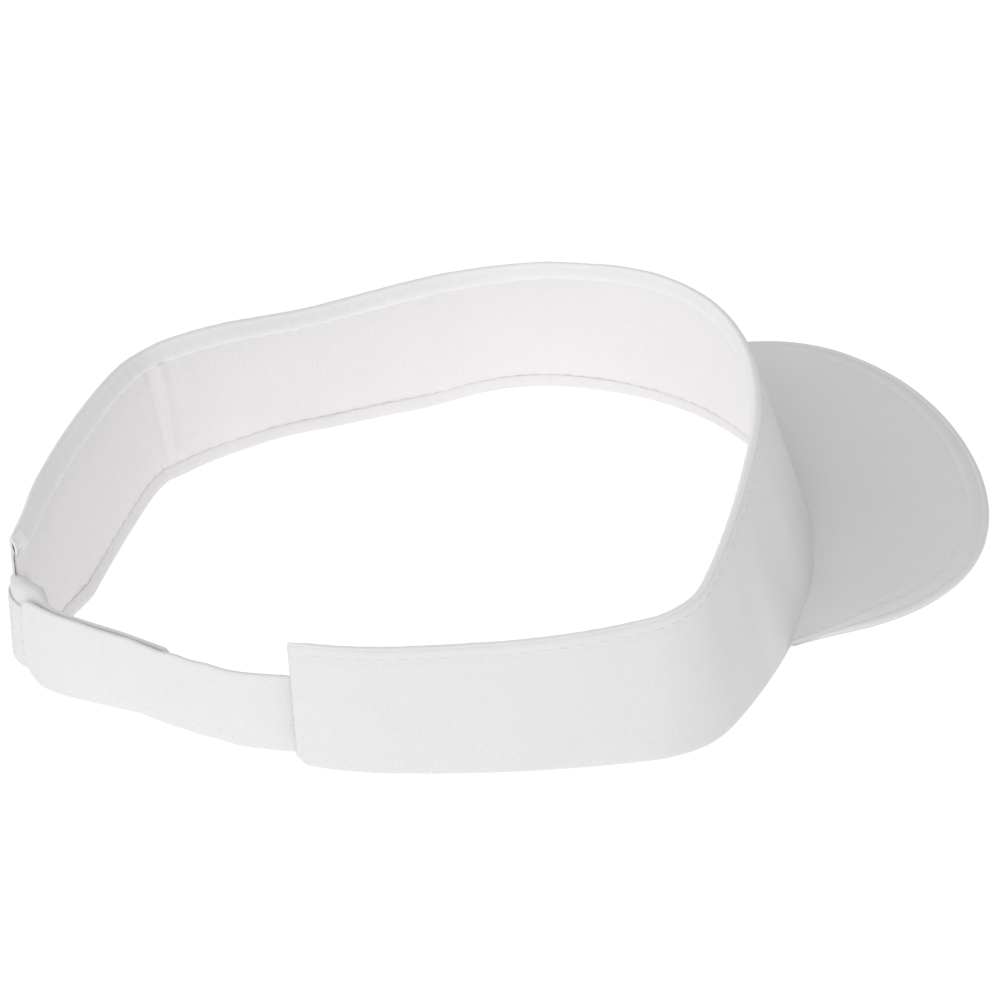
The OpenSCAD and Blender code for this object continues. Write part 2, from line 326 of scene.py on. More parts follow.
def cloth_place(tree, scale, turn=0):
    """Coordinates on the flat cloth, turned and scaled."""
    place = tree.nodes.new("ShaderNodeAttribute")
    place.attribute_name = "cloth"
    mapping = tree.nodes.new("ShaderNodeMapping")
    mapping.inputs["Rotation"].default_value = (0, 0, math.radians(turn))
    mapping.inputs["Scale"].default_value = scale
    link(tree, place.outputs["Vector"], mapping.inputs["Vector"])
    return mapping.outputs["Vector"]


def noise_of(tree, vector, scale, detail=3, rough=0.6):
    made = tree.nodes.new("ShaderNodeTexNoise")
    made.inputs["Scale"].default_value = scale
    made.inputs["Detail"].default_value = detail
    made.inputs["Roughness"].default_value = rough
    link(tree, vector, made.inputs["Vector"])
    return made.outputs["Fac"]


def wave_of(tree, vector, scale, distort, profile="SIN"):
    made = tree.nodes.new("ShaderNodeTexWave")
    made.wave_type = "BANDS"
    made.bands_direction = "X"
    made.wave_profile = profile
    made.inputs["Scale"].default_value = scale
    made.inputs["Distortion"].default_value = distort
    made.inputs["Detail"].default_value = 2
    made.inputs["Detail Scale"].default_value = 2
    link(tree, vector, made.inputs["Vector"])
    return made.outputs["Fac"]


def maths(tree, what, a, b):
    made = tree.nodes.new("ShaderNodeMath")
    made.operation = what
    for socket, value in zip(made.inputs, (a, b)):
        if isinstance(value, (int, float)):
            socket.default_value = value
        else:
            link(tree, value, socket)
    return made.outputs[0]


def ramp(tree, value, low, high):
    made = tree.nodes.new("ShaderNodeValToRGB")
    made.color_ramp.elements[0].color = (*low, 1)
    made.color_ramp.elements[1].color = (*high, 1)
    made.color_ramp.elements[0].position = 0.25
    made.color_ramp.elements[1].position = 0.75
    link(tree, value, made.inputs["Fac"])
    return made.outputs["Color"]


def bumped(tree, shader, value, distance, strength):
    made = tree.nodes.new("ShaderNodeBump")
    made.inputs["Distance"].default_value = distance
    made.inputs["Strength"].default_value = strength
    link(tree, value, made.inputs["Height"])
    link(tree, made.outputs["Normal"], shader.inputs["Normal"])


def twill(name, low, high, turn, rough=0.85, sheen=0.15, pitch=0.55, strength=0.55):
    """Diagonal twill weave, crossed by finer warp threads and slubs."""
    material, tree, shader = nodes_of(name)
    flat = cloth_place(tree, (1, 1, 1))
    diagonal = wave_of(tree, cloth_place(tree, (1, 1, 1), turn), 0.314 / (pitch * MM), 0.6)
    warp = wave_of(tree, cloth_place(tree, (1, 1, 1), turn - 55), 0.314 / (0.6 * pitch * MM), 0.8)
    slub = noise_of(tree, cloth_place(tree, (1, 0.25, 1)), 900, 2)
    weave = maths(tree, "ADD", diagonal, maths(tree, "MULTIPLY", warp, 0.45))
    weave = maths(tree, "ADD", weave, maths(tree, "MULTIPLY", slub, 0.6))
    broad = noise_of(tree, flat, 28, 3)
    fine = maths(tree, "ADD", maths(tree, "MULTIPLY", broad, 0.7), maths(tree, "MULTIPLY", slub, 0.3))
    link(tree, ramp(tree, fine, low, high), shader.inputs["Base Color"])
    bumped(tree, shader, weave, 0.00012, strength)
    shader.inputs["Roughness"].default_value = rough
    shader.inputs["Sheen Weight"].default_value = sheen
    shader.inputs["Sheen Roughness"].default_value = 0.5
    shader.inputs["Specular IOR Level"].default_value = 0.2
    return material


def brushed(name, low, high):
    """Soft brushed lining with short fibres."""
    material, tree, shader = nodes_of(name)
    flat = cloth_place(tree, (1, 1, 1))
    nap = noise_of(tree, cloth_place(tree, (1, 0.35, 1)), 1500, 3)
    knit = wave_of(tree, cloth_place(tree, (1, 1, 1)), 0.314 / (0.9 * MM), 2.5)
    pile = maths(tree, "ADD", nap, maths(tree, "MULTIPLY", knit, 0.25))
    broad = noise_of(tree, flat, 22, 3)
    tone = maths(tree, "ADD", maths(tree, "MULTIPLY", broad, 0.75), maths(tree, "MULTIPLY", nap, 0.25))
    link(tree, ramp(tree, tone, low, high), shader.inputs["Base Color"])
    bumped(tree, shader, pile, 0.00018, 0.6)
    shader.inputs["Roughness"].default_value = 0.95
    shader.inputs["Sheen Weight"].default_value = 0.3
    shader.inputs["Sheen Roughness"].default_value = 0.6
    shader.inputs["Specular IOR Level"].default_value = 0.1
    return material


def grained(name, low, high, scale, depth, rough, sheen=0.0):
    """Even fine grain, for tapes, thread, interlining and the board."""
    material, tree, shader = nodes_of(name)
    place = tree.nodes.new("ShaderNodeTexCoord")
    grain = noise_of(tree, place.outputs["Object"], scale, 3)
    link(tree, ramp(tree, grain, low, high), shader.inputs["Base Color"])
    bumped(tree, shader, grain, depth, 0.7)
    shader.inputs["Roughness"].default_value = rough
    shader.inputs["Sheen Weight"].default_value = sheen
    shader.inputs["Specular IOR Level"].default_value = 0.25
    return material


SHELL_CLOTH = twill("shell_twill", (0.77, 0.77, 0.77), (0.81, 0.81, 0.81), 45, strength=0.3)
# The rolled top edge and the hem use the shell's twill painted lighter: painted light on the upward-facing
# rim and hem
HEM_PAINTED_LIGHT_CLOTH = twill("shell_twill_painted_light", (0.89, 0.885, 0.885), (0.93, 0.925, 0.925), 45, strength=0.3)
BRIM_CLOTH = twill("brim_twill", (0.79, 0.79, 0.79), (0.83, 0.83, 0.83), 45, strength=0.3)
# The under cover's twill runs the other way; its tone, darker than the top cover's, is painted shade on the
# brim's underside
UNDER_CLOTH_PAINTED_SHADE = twill("brim_under_twill_painted_shade", (0.74, 0.74, 0.745), (0.79, 0.79, 0.79), -45)
STRAP_CLOTH = twill("strap_twill", (0.78, 0.78, 0.78), (0.82, 0.82, 0.82), 45, strength=0.3)
LINING = brushed("brushed_lining", (0.83, 0.805, 0.81), (0.875, 0.855, 0.86))
BINDING = twill("binding_tape", (0.82, 0.80, 0.805), (0.86, 0.84, 0.845), 0, pitch=0.8, strength=0.3)
HOOKS = grained("hook_nylon", (0.78, 0.78, 0.78), (0.86, 0.86, 0.86), 1800, 0.00012, 0.55)
PILE = grained("loop_pile", (0.68, 0.68, 0.68), (0.80, 0.80, 0.80), 2600, 0.0003, 0.95, 0.4)
THREAD = grained("sewing_thread", (0.80, 0.80, 0.80), (0.88, 0.88, 0.88), 3500, 0.00005, 0.6)
BUCKRAM = grained("buckram", (0.74, 0.74, 0.71), (0.84, 0.84, 0.81), 700, 0.0002, 0.9)
BOARD = grained("board_plastic", (0.80, 0.80, 0.79), (0.84, 0.84, 0.83), 400, 0.00005, 0.5)


# ---------------------------------------------------------------- the headband's cloth

# Distances of the top edge's stitches and of the panel ends' stitches from their edges
STITCH_DROP = 3
END_SEAM = 3
# Radius of the rolled top edge, and size of the corner turned under at each panel's end
RIM = 0.85
END_CUT = 2.2
# How far the left panel's outer cloth stands open behind the strap
OPEN_BACK = 8


def puckers(d, amount):
    """Small waves of the cloth between stitches."""
    return amount * np.cos(2 * math.pi * (d - FIRST - 6) / STITCH_PITCH)


def shell_out(d, h):
    """How far the shell's outer face stands from its plain surface: soft waves and seam grooves."""
    top = height(d) - h
    wave = 0.30 * ripple(d, h, 34, 26, 1.5) + 0.12 * ripple(d, h, 9, 16, 7.5)
    wave = wave + 0.85 * ripple(d, h, 11, 70, 5.5) * near(d, -64, 34)
    row = (-0.05 + puckers(d, 0.04)) * near(top, STITCH_DROP, 0.8)
    roll = 0.18 * near(top, STITCH_DROP - 1.6, 0.9) + 0.10 * near(top, STITCH_DROP + 1.9, 1.2)
    ends = 0.12 * (near(d, FIRST + 1.2, 1.1) + near(d, LEFT_END - 1.2, 1.1))
    ends = ends - 0.16 * (near(d, FIRST + END_SEAM, 0.7) + near(d, LEFT_END - END_SEAM, 0.7))
    edge = smooth(h / 6) * smooth((top + 2) / 6)
    return wave * edge + row + roll + ends


def lower_edge(d):
    """Height at which the panels' cloth starts: a small corner is turned under at each end."""
    right = np.clip(1 - (d - FIRST) / END_CUT, 0, 1)
    left = np.clip(1 - (LEFT_END - d) / END_CUT, 0, 1)
    return END_CUT * (right + left)


def pulled_back(d, h):
    """How far the left panel's end is drawn back below the strap's upper edge."""
    return OPEN_BACK * (1 - smooth((h - 18.5) / 5)) * smooth((d - LEFT_END + 16) / 16)


def edge_sag(d):
    """Unevenness of the rolled top edge."""
    return 0.22 * ripple(d, 0 * d, 26, 10, 3.5) + 0.1 * ripple(d, 0 * d, 7, 10, 9.5)


# Rows of the shell's cloth, as [height, out] from the lower edge and [drop, out] from the top edge
TURNED_UNDER = [(4, -1.15), (2, -1.1), (0.8, -1.05), (0.25, -0.85), (0.03, -0.5), (0.12, -0.18), (0.5, 0)]
HEM = [(1.5, -2.2), (2.2, -2.75), (3.0, -3.2), (3.7, -3.35), (4.1, -3.2), (4.3, -3.0), (4.2, -2.8)]
PANEL_ROWS = 48
RIM_ROWS = 12
# First row of faces that takes the lighter twill, from the top of the rolled edge down the hem: painted
# light
PAINTED_LIGHT_FROM = len(TURNED_UNDER) + PANEL_ROWS + 2


def shell():
    """Outer cloth: turned under below, up the outside, rolled over the top and down as a hem. The top of the
    roll and the hem take the shell's twill painted lighter, as painted light.
    """
    d = np.concatenate([[FIRST], np.arange(FIRST + 0.4, LEFT_END - 0.3, 0.8), [LEFT_END]])
    top, low = height(d), lower_edge(d)
    # Each row has its height, how far out it is and its share of the outer face's soft waves
    rows = [(low + h, out, 0.5) for h, out in TURNED_UNDER]
    for k in range(1, PANEL_ROWS + 1):
        rows.append((low + 0.5 + (top - RIM - low - 0.5) * k / (PANEL_ROWS + 1), 0, 1))
    for k in range(RIM_ROWS + 1):
        t = math.pi * k / RIM_ROWS
        rows.append((top - RIM + RIM * math.sin(t), -RIM + RIM * math.cos(t), 1 if k < 4 else 0))
    rows += [(top - drop, out, 0) for drop, out in HEM]
    sag = edge_sag(d)
    grid, cloth, across = [], [], 0 * d
    for h, out, waved in rows:
        lift = sag * smooth((h - top + 8) / 8)
        bulge = waved * shell_out(d, h) if waved else puckers(d, 0.05)
        grid.append(skin(d - pulled_back(d, h), h + lift, out + bulge))
        if len(grid) > 1:
            across = across + np.linalg.norm(grid[-1] - grid[-2], axis=1) / MM
        cloth.append(np.stack([d, across], -1))
    grid, cloth = np.array(grid), np.array(cloth)
    piece = sheet_piece("shell_cloth", grid, cloth, 0.5, SHELL_CLOTH)
    # The faces of the upper roll and the hem take the lighter copy of the twill: painted light
    piece.data.materials.append(HEM_PAINTED_LIGHT_CLOTH)
    for face in piece.data.polygons[PAINTED_LIGHT_FROM * (len(d) - 1):]:
        face.material_index = 1
    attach(piece, "headband")
    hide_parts("shell")
    return piece


# Middle of the left panel's fold
FOLD_D = sum(length for length, _ in LEFT_ARCS) - 4


def lining_out(d, h):
    """The sweatband's soft surface, towards the head: seams pull it in, the middle stands proud."""
    low, top = smooth((h - 1.5) / 7), smooth((height(d) - 3.2 - h) / 6)
    puff = 0.45 * low * top
    wave = 0.30 * ripple(d, h, 17, 60, 12.5) + 0.16 * ripple(d, h, 6, 40, 15.5)
    wave = wave * (0.35 + 0.65 * low * top)
    fold = FOLD_D - 2 + 0.12 * (h - 17)
    crease = 0.9 * near(d, fold, 2.4) - 0.6 * near(d, fold + 4, 2)
    crease = (crease + 0.4 * near(d, fold - 7, 2) * smooth((h - 10) / 12)) * smooth((h - 3.5) / 4)
    seams = near(h, 4.2, 1.5) + near(height(d) - h, 4, 1.5)
    pull = 0.10 * np.cos(2 * math.pi * d / STITCH_PITCH) * seams
    return puff + wave + crease + pull


def sweatband():
    """Lining from under the hem down to the binding, turned in against the shell above the strap."""
    ends = [LEFT_END - 1, LEFT_END - 0.8]
    d = np.concatenate([[FIRST + 1], np.arange(FIRST + 1.4, LEFT_END - 1.3, 0.8), ends])
    grid, cloth = [], []
    for k in range(49):
        h = 0.15 + (height(d) - 3.65) * k / 48
        out = -SWEATBAND_IN - lining_out(d, h)
        # The last column meets the shell's inner face
        out[-1] += (SWEATBAND_IN - 0.75) * smooth((h[-1] - 21) / 3)
        grid.append(skin(d, h, out))
        cloth.append(np.stack([d, h], -1))
    grid, cloth = np.array(grid), np.array(cloth)
    piece = sheet_piece("sweatband_lining", grid, cloth, 0.7, LINING, flip=True)
    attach(piece, "headband")
    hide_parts("sweatband")
    return piece


def binding():
    """Tape over the sweatband's lower edge, with a sewn upper edge."""
    d = np.concatenate([[FIRST + 1], np.arange(FIRST + 1.4, LEFT_END - 1.3, 0.8), [LEFT_END - 1]])
    lift = BINDING_H + 0.25 * ripple(d, 0 * d, 20, 10, 21.5)
    profile = [(0.0, -0.35), (0.0, 0.15), (0.12, 0.4), (0.5, 0.52), (1.4, 0.56), (2.3, 0.46), (2.7, 0.38),
               (3.0, 0.36), (3.3, 0.22), (3.5, 0.02), (3.45, -0.12), (2.6, -0.3), (1.2, -0.35)]
    grid, cloth = [], []
    for h, out in profile:
        pinch = puckers(d, 0.06) * near(h, 2.7, 0.7)
        grid.append(skin(d, h * lift / BINDING_H, -SWEATBAND_IN - 0.12 - out - pinch))
        cloth.append(np.stack([d, np.full_like(d, h)], -1))
    grid, cloth = np.array(grid).transpose(1, 0, 2), np.array(cloth).transpose(1, 0, 2)
    piece = tube_piece("sweatband_binding_tape", grid, cloth, BINDING)
    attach(piece, "headband")
    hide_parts("sweatband_binding")
    return piece


# ---------------------------------------------------------------- the brim

def brim_root(t):
    """Point of the brim's root on the band's lower edge, at angle t."""
    x, y, _ = loop_place(BRIM_HALF * (t / 90 - 1))
    return np.stack([x, y], -1)


def brim_outline(t, inset):
    """Point inset from the brim's outline, at angle t from corner to corner."""
    c, s = np.cos(np.radians(t)), np.sin(np.radians(t))
    x = -(BRIM_HALF_W - inset) * c * np.sqrt(1 + s * s)
    return np.stack([x, CORNER_Y - (BRIM_REACH - inset) * s], -1)


def brim_middle(q):
    """Height of the brim's middle surface over points of the plan."""
    root_w = FRONT_R * math.sin(math.radians(FRONT_TURN))
    a = np.arcsin(np.clip(q[..., 0], -root_w, root_w) / FRONT_R)
    root_y = FRONT_R * (1 - np.cos(a))
    away = root_y - q[..., 1]
    # The brim is tucked up into the seam at its root
    tuck = 3.0 - 1.8 * smooth(away / 30) - 0.4 * smooth((-q[..., 0] - 30) / 40)
    return rise(a * FRONT_R) - COVER_Z - COVER - 0.15 + tuck + away * math.tan(math.radians(BRIM_SLOPE))


# Distances inside the edge at which the covers have rows
EDGE = [6, 5.7, 5.4, 5.2, 5, 4.8, 4.6, 4.3, 4, 3.6, 3.2, 2.8, 2.4, 2.1, 1.85, 1.65, 1.5, 1.35, 1.15,
        0.95, 0.75, 0.55, 0.38, 0.22, 0.1, 0.03, 0]
# Angles from corner to corner, in degrees, at which they have columns
BRIM_T = np.linspace(1, 179, 340)
BRIM_ROWS = 34


def along_row(points):
    """Distance of each point of a row from its first."""
    return np.concatenate([[0], np.cumsum(np.linalg.norm(np.diff(points, axis=0), axis=1))])


def edge_profile(e, along):
    """Height of a cover over the middle surface, e inside the edge: board, seam groove, rolled edge."""
    full = COVER_Z + COVER - 0.25
    flat = full - 0.35 * (1 - smooth((e - 1.8) / 2.2))
    rolled = (full - 0.35) * math.sqrt(max(0, 1 - (1 - min(e, 1.3) / 1.3) ** 2))
    base = min(flat, rolled) if e < 1.3 else flat
    seam = -0.22 * near(e, 1.55, 0.3) * (1 + 0.3 * np.cos(2 * math.pi * along / 2.6))
    row = (-0.13 + 0.06 * np.cos(2 * math.pi * along / STITCH_PITCH)) * near(e, BRIM_STITCH, 0.55)
    swell = 0.07 * near(e, 3.3, 1.0) + 0.05 * near(e, 6.4, 0.9)
    return base + seam + row + swell


def brim_grid(side):
    """Rows of points of the top cover, side 1, or the under cover, side -1, and their flat places."""
    t = BRIM_T
    shrink = 0.12 + 0.88 * smooth((90 - np.abs(t - 90) - 1) / 24)
    along = along_row(brim_outline(t, BRIM_STITCH))
    tip = smooth((90 - np.abs(t - 90) - 2) / 16)
    r, o = brim_root(t), brim_outline(t, 0)
    inner = o + (brim_outline(t, EDGE[0]) - o) * shrink[:, None]
    span = np.linalg.norm(inner - r, axis=1)[:, None]
    grid, cloth = [], []

    def add(q, z, thin=1):
        z = z * (0.5 + 0.5 * tip) * thin
        x, y = q.T
        soft = 0.28 * ripple(x, y, 30, 30, 31.5) + 0.05 * ripple(x, y, 7, 7, 33.5)
        grid.append(np.stack([x, y, brim_middle(q) + soft * shrink + side * z], -1))
        cloth.append(q)

    for k in range(BRIM_ROWS):
        v = -ROOT_IN / span + (1 + ROOT_IN / span) * k / BRIM_ROWS
        from_root = np.linalg.norm((inner - r) * v, axis=1) * np.sign(v[:, 0])
        z = edge_profile(8 - 1.5 * k / BRIM_ROWS, along)
        add(r + (inner - r) * v, z, 0.6 + 0.4 * smooth(from_root / 9))
    for e in EDGE:
        add(o + (brim_outline(t, e) - o) * shrink[:, None], edge_profile(e, along))
    return (np.array(grid) - CENTRE) * MM, np.array(cloth)


def brim_board():
    """Board between the covers, clear of the root and the edge seam."""
    t = np.linspace(12, 168, 160)
    r, o = brim_root(t), brim_outline(t, 4)
    span = np.linalg.norm(o - r, axis=1)[:, None]
    grid, cloth = [], []
    for k in range(25):
        q = r + (o - r) * (6 / span + (1 - 6 / span) * k / 24)
        grid.append(np.stack([*q.T, brim_middle(q) + 0.3], -1))
        cloth.append(q)
    points = (np.array(grid) - CENTRE) * MM
    piece = sheet_piece("brim_board_sheet", points, np.array(cloth), 0.7, BOARD, flip=True)
    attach(piece, "headband")
    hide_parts("brim_board")
    return piece


def brim_cover(side, name, material, node):
    """The brim's cover, side 1 for the top and side -1 for the underside."""
    grid, cloth = brim_grid(side)
    piece = sheet_piece(name, grid, cloth, 0.4, material, flip=side > 0)
    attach(piece, "headband")
    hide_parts(node)
    return piece


# ---------------------------------------------------------------- straps and tapes

RIGHT_ROOT = RIGHT_END - ROOT_GAP
LEFT_ROOT = LEFT_END + ROOT_GAP
RIGHT_START = LEFT_END + BARE_HOOK
# Radii of the free end's lower corner and of the other corners, and the rounding of the ends' thickness
FREE_CORNER = 6.5
UPPER_CORNER = 2
END_ROUND = 0.6
END_STEPS = [0, 0.04, 0.12, 0.25, 0.4, 0.6]
# Thickness of the tails, pressed between the shell and the sweatband
TAIL_T = 0.4
# How much the fold at the left strap's root adds to its thickness and height, and how much lower
# the rest of that strap is than the right one
FOLD_T = 3.4
FOLD_H = 2.2
LEFT_LOWER = 0.6


def bow(d):
    """How far both straps bow out together past the left panel."""
    return 1.9 * smooth((d - LEFT_END + OPEN_BACK) / 7) * (1 - smooth((d - LEFT_END - 10) / 24))


def right_line(d):
    """How far out the right strap's outer face is."""
    return STRAP_OUT + SHIFT_OUT * smooth((RIGHT_ROOT - d) / RIGHT_RAMP) + bow(d)


def left_line(d):
    """How far out the left strap's outer face is."""
    return STRAP_OUT - SHIFT_IN * smooth((d - LEFT_ROOT) / LEFT_RAMP) + bow(d)


def corner(u, r):
    """How far a rounded corner of radius r cuts in at distance u from the end."""
    c = np.clip(r - u, 0, r)
    return r - np.sqrt(np.maximum(0, r * r - c * c))


def ribbon(d, low, high, outer, thick, faces=26, turn=5):
    """Rings of points round a flat strap: up the outer face, over, down the inner face and under."""
    r = thick / 2
    rings = []
    span = np.maximum(high - low - 2 * r, 0.02)
    for k in range(faces + 1):
        f = k / faces
        rings.append((low + r + span * f, outer))
    for k in range(1, turn):
        a = math.pi * k / turn
        rings.append((high - r + r * math.sin(a), outer - r + r * math.cos(a)))
    for k in range(faces + 1):
        f = 1 - k / faces
        rings.append((low + r + span * f, outer - thick))
    for k in range(1, turn):
        a = math.pi * k / turn
        rings.append((low + r - r * math.sin(a), outer - r - r * math.cos(a)))
    h = np.stack([p[0] for p in rings], 1)
    out = np.stack([p[1] for p in rings], 1)
    cloth = np.stack([np.repeat(d[:, None], h.shape[1], 1), h], -1)
    return h, out, cloth


# Upright creases of the right strap: [depth, distance from the right panel, width]
RIGHT_CREASES = [(0.35, 20, 2.2), (0.35, 28, 1.8), (-0.25, 32, 2.2), (0.30, 40, 2.4), (0.30, 54, 2.8)]


def strap_wave(d, h, seed):
    return 0.22 * ripple(d, h, 16, 40, seed) + 0.10 * ripple(d, h, 6, 14, seed + 3)


def right_wave(d, h):
    """Softness and creases of the right strap."""
    return strap_wave(d, h, 41.5) - bumps(RIGHT_END - d, RIGHT_CREASES) * (0.8 + 0.25 * np.sin((h - 12) / 9))


def left_wave(d, h):
    """Softness of the left strap."""
    return 0.5 * strap_wave(d, h, 51.5)


def end_rounding(u):
    """Share of a strap's thickness at distance u from its end."""
    return np.sqrt(np.clip(1 - (1 - np.minimum(u / END_ROUND, 1)) ** 2, 0.02, 1))


def right_strap():
    """Strap from its tail inside the right panel to its rounded free end."""
    d = np.arange(RIGHT_START + 1, RIGHT_END + TAIL, 0.6)
    d = np.concatenate([RIGHT_START + np.array(END_STEPS), d, [RIGHT_END + TAIL]])
    u = d - RIGHT_START
    in_panel = smooth((d - RIGHT_END + 2.5) / 3.5)
    thick = (STRAP + (TAIL_T - STRAP) * in_panel) * end_rounding(u)
    low = STRAP_Z + corner(u, FREE_CORNER)
    high = STRAP_Z + STRAP_W - corner(u, UPPER_CORNER)
    outer = right_line(d) - (STRAP - thick) / 2 * (u < END_ROUND) - 0.5 * smooth((d - RIGHT_END + 5) / 4)
    h, out, cloth = ribbon(d, low, high, outer, thick)
    d, free = d[:, None], 1 - in_panel[:, None]
    grid = skin(d, h, out + right_wave(d, h) * free)
    piece = tube_piece("right_strap_cloth", grid, cloth, STRAP_CLOTH)
    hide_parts("right_strap", "right_strap_tail")
    return piece


def left_strap():
    """Strap from its tail inside the left panel, folded thick at its root, to its end."""
    stop = LEFT_END + LEFT_STRAP
    d = np.concatenate([np.arange(LEFT_END - TAIL, stop - 0.8, 0.6), stop - np.array(END_STEPS[::-1])])
    u = stop - d
    in_panel = smooth((LEFT_END + 2 - OPEN_BACK - d) / 3)
    folded = smooth((d - LEFT_END + 3) / 4) * (1 - smooth((d - LEFT_END - 5) / 7))
    thick = (STRAP + (TAIL_T - STRAP) * in_panel + FOLD_T * folded) * end_rounding(u)
    low = STRAP_Z + corner(u, UPPER_CORNER)
    high = STRAP_Z + STRAP_W - corner(u, UPPER_CORNER) - LEFT_LOWER + FOLD_H * folded
    outer = left_line(d) - (STRAP - thick) / 2 * (u < END_ROUND) - 0.12 * in_panel
    h, out, cloth = ribbon(d, low, high, outer, thick)
    d, free = d[:, None], 1 - in_panel[:, None]
    grid = skin(d, h, out + left_wave(d, h) * free)
    piece = tube_piece("left_strap_cloth", grid, cloth, STRAP_CLOTH)
    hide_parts("left_strap", "left_strap_tail")
    return piece


# The hook tape's ribs and the hooks along them, and both tapes' lower edge
RIB_PITCH = 1.3
HOOK_PITCH = 1.3
RIB_DEPTH = 0.34
HOOK_DEPTH = 0.14
TAPE_LOW = STRAP_Z + (STRAP_W - TAPE_W) / 2


def hook_tape():
    """Ribs along the strap, each a row of small hooks."""
    d = np.arange(LEFT_END + 1.5 - OPEN_BACK, LEFT_END + LEFT_STRAP - 1, 0.26)
    low = np.full_like(d, TAPE_LOW - 0.8)
    base = left_line(d) + 0.02
    h, out, cloth = ribbon(d, low, low + TAPE_W, base + HOOK, np.full_like(d, HOOK), faces=112, turn=4)
    outer_face = out > (base + 0.9 * HOOK)[:, None]
    d, across = d[:, None], (h - low[:, None]) / RIB_PITCH
    rib = 0.5 + 0.5 * np.cos(2 * math.pi * across)
    hooks = 0.5 + 0.5 * np.cos(2 * math.pi * d / HOOK_PITCH + math.pi * np.floor(across + 0.5))
    out = out - outer_face * (RIB_DEPTH * (1 - rib) + HOOK_DEPTH * rib * (1 - hooks))
    out = out + left_wave(d, h) * smooth((d - LEFT_END + OPEN_BACK - 2) / 3)
    piece = tube_piece("hook_tape_ribs", skin(d, h, out), cloth, HOOKS)
    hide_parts("hook_tape")
    return piece


def loop_tape():
    """Woven pile on the right strap's inner face."""
    d = np.arange(RIGHT_START + 1.5, RIGHT_ROOT - RIGHT_RAMP, 0.45)
    low = np.full_like(d, TAPE_LOW)
    outer = right_line(d) - STRAP - 0.02
    h, out, cloth = ribbon(d, low, low + TAPE_W, outer, np.full_like(d, LOOP), faces=40, turn=4)
    inner_face = out < (outer - 0.8 * LOOP)[:, None]
    d = d[:, None]
    out = out + inner_face * 0.14 * ripple(d, h, 0.9, 0.9, 61.5) + right_wave(d, h)
    piece = tube_piece("loop_tape_pile", skin(d, h, out), cloth, PILE)
    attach(piece, "loop_strap")
    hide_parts("loop_tape")
    return piece


# ---------------------------------------------------------------- stitching

# The threads' axis is just below the cloth's face. Upright stitches are shorter and closer.
THREAD_LIFT = -0.03
SHORT_STITCH = 2.2
UPRIGHT_PITCH = 0.8 * STITCH_PITCH


def stitches(name, middle, tangent, normal, node, body, length=STITCH):
    """Short arched threads that dive into the cloth at both ends."""
    tangent = tangent / np.linalg.norm(tangent, axis=-1, keepdims=True)
    normal = normal / np.linalg.norm(normal, axis=-1, keepdims=True)
    side = np.cross(tangent, normal)
    steps, sides = 9, 7
    points, faces = [], []
    for p, t, n, s in zip(middle, tangent, normal, side):
        start = len(points)
        for i in range(steps):
            f = 2 * i / (steps - 1) - 1
            lift = THREAD_LIFT - 0.3 * f ** 6
            for k in range(sides):
                a = 2 * math.pi * (k / sides + 0.05 * i)
                r = THREAD_R * (1 - 0.35 * f ** 8)
                out, aside = lift + r * math.sin(a), r * math.cos(a)
                points.append(p + (t * f * length / 2 + n * out + s * aside) * MM)
        for i in range(steps - 1):
            for k in range(sides):
                a, b = start + i * sides + k, start + i * sides + (k + 1) % sides
                faces.append((a, b, b + sides, a + sides))
        faces.append(tuple(start + k for k in range(sides))[::-1])
        faces.append(tuple(start + (steps - 1) * sides + k for k in range(sides)))
    points = np.array(points)
    piece = make_piece(name, points, faces, points[:, :2] * 0, THREAD)
    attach(piece, body)
    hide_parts(node)
    return piece


def band_stitches(name, d, h, out, along, node, body):
    """Stitches on the band's surface: long ones along it or, with along false, short upright ones."""
    middle = skin(d, h, out)
    dd, dh = (0.5, 0) if along else (0, 0.5)
    tangent = skin(d + dd, h + dh, out) - skin(d - dd, h - dh, out)
    outward = skin(d, h, out + np.sign(out + 2) * 0.5) - middle
    return stitches(name, middle, tangent, outward, node, body, STITCH if along else SHORT_STITCH)


def top_edge_stitches():
    d = np.arange(FIRST + 6, LEFT_END - 6, STITCH_PITCH)
    h = height(d) - STITCH_DROP + edge_sag(d)
    return band_stitches("top_edge_stitches", d, h, shell_out(d, h), True, "top_edge_thread", "headband")


def panel_stitches(name, at, node):
    h = np.arange(STRAP_Z + 2.5, STRAP_Z + STRAP_W + 4, UPRIGHT_PITCH)
    d = np.full_like(h, at)
    return band_stitches(name, d - pulled_back(d, h), h, shell_out(d, h), False, node, "headband")


def brim_stitches():
    grid, _ = brim_grid(1)
    row = grid[BRIM_ROWS + EDGE.index(BRIM_STITCH)]
    along = along_row(row) / MM
    at = np.arange(8, along[-1] - 8, STITCH_PITCH)
    middle = np.stack([np.interp(at, along, axis) for axis in row.T], -1)
    ahead = np.stack([np.interp(at + 1, along, axis) for axis in row.T], -1)
    up = np.tile([0, 0, 1.0], (len(at), 1))
    return stitches("brim_stitches", middle, ahead - middle, up, "brim_thread", "headband")


def loop_tape_stitches():
    h = np.arange(STRAP_Z + 3, STRAP_Z + STRAP_W - 2, UPRIGHT_PITCH)
    d = np.repeat([RIGHT_START + 4, RIGHT_ROOT - RIGHT_RAMP - 3], len(h))
    h = np.tile(h, 2)
    out = right_line(d) + right_wave(d, h)
    return band_stitches("loop_tape_stitches", d, h, out, False, "loop_thread", "loop_strap")


def hook_tape_stitches():
    h = np.arange(STRAP_Z + 3, STRAP_Z + STRAP_W - 2, UPRIGHT_PITCH)
    d = np.full_like(h, LEFT_END + LEFT_STRAP - 4)
    out = left_line(d) - STRAP + left_wave(d, h)
    return band_stitches("hook_tape_stitches", d, h, out, False, "hook_thread", "hook_strap")


# ---------------------------------------------------------------- build

